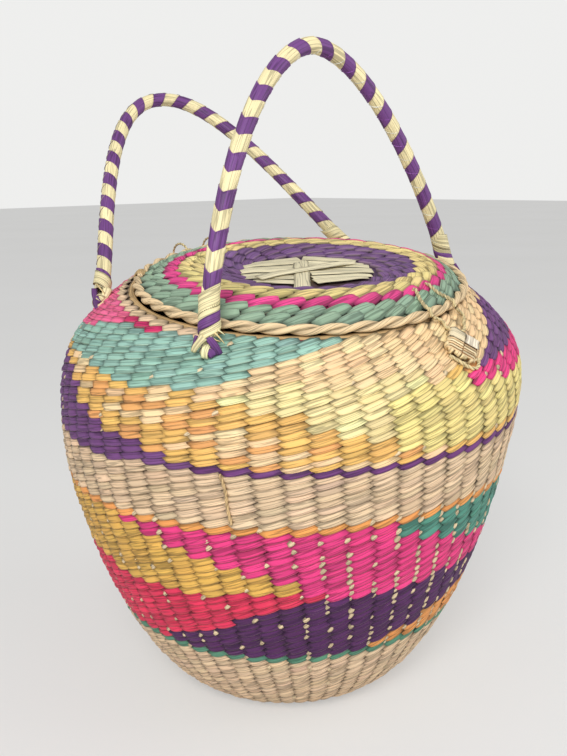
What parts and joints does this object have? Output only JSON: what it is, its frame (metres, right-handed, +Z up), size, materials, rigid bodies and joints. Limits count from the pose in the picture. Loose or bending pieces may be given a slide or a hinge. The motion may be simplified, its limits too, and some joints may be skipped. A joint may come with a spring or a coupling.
{
  "type": "lidded basket",
  "caption": "Woven palm pot basket with a domed hinged lid, arch handles and a loop-and-button latch.",
  "frame": {"origin": "middle of the flat base, on the face that the basket rests on", "axes": "+Z up, -Y to the front where the latch is, +X to the right of someone who faces the latch"},
  "size_m": [0.3852, 0.4163, 0.5296],
  "materials": {
    "natural_palm": "satin",
    "dyed_palm": "satin",
    "lid_palm": "satin",
    "handle_palm": "satin",
    "palm_cord": "matte"
  },
  "bodies": {
    "pot": {"base_panel": "natural_palm", "wall_foot_course": "dyed_palm", "wall_lower_course": "dyed_palm", "wall_waist_course": "dyed_palm", "wall_shoulder_course": "dyed_palm", "mouth_rim": "natural_palm", "foot_front_left": "handle_palm", "foot_front_right": "handle_palm", "foot_rear_left": "handle_palm", "foot_rear_right": "handle_palm", "hinge_tie_left": "palm_cord", "hinge_tie_right": "palm_cord", "mend_cord": "palm_cord", "latch_button": "natural_palm", "button_neck": "palm_cord", "button_keeper": "palm_cord"},
    "lid": {"lid_panel": "lid_palm", "lid_rim_rope": "natural_palm", "rope_splice": "palm_cord", "lid_strip_wide": "natural_palm", "lid_strip_narrow": "natural_palm", "latch_cord_left": "palm_cord", "latch_cord_right": "palm_cord"},
    "loop": {"latch_loop": "palm_cord"},
    "front_handle": {"front_handle_core": "palm_cord", "front_handle_wrap": "handle_palm"},
    "rear_handle": {"rear_handle_core": "palm_cord", "rear_handle_wrap": "handle_palm"}
  },
  "joints": [
    {"name": "lid_hinge", "type": "hinge", "parent": "pot", "child": "lid", "pos_m": [0.033, 0.13457, 0.35635], "axis": [-0.9953, 0.0115, -0.0957], "range_deg": [0, 50]},
    {"name": "latch_loop_hinge", "type": "hinge", "parent": "lid", "child": "loop", "pos_m": [0.04167, -0.14381, 0.32786], "axis": [-0.9923, -0.0664, -0.1048], "range_deg": [0, 80]},
    {"name": "front_handle_hinge", "type": "hinge", "parent": "pot", "child": "front_handle", "pos_m": [-0.13209, -0.06099, 0.30931], "axis": [0.9956, 0.0433, 0.0826], "range_deg": [0, 75]},
    {"name": "rear_handle_hinge", "type": "hinge", "parent": "pot", "child": "rear_handle", "pos_m": [0.1661, 0.06007, 0.34484], "axis": [-0.98, 0.1862, -0.0695], "range_deg": [-10, 30]}
  ],
  "couplings": [
    {"joint": "front_handle_hinge", "follows": "lid_hinge", "ratio": 1.5}
  ]
}
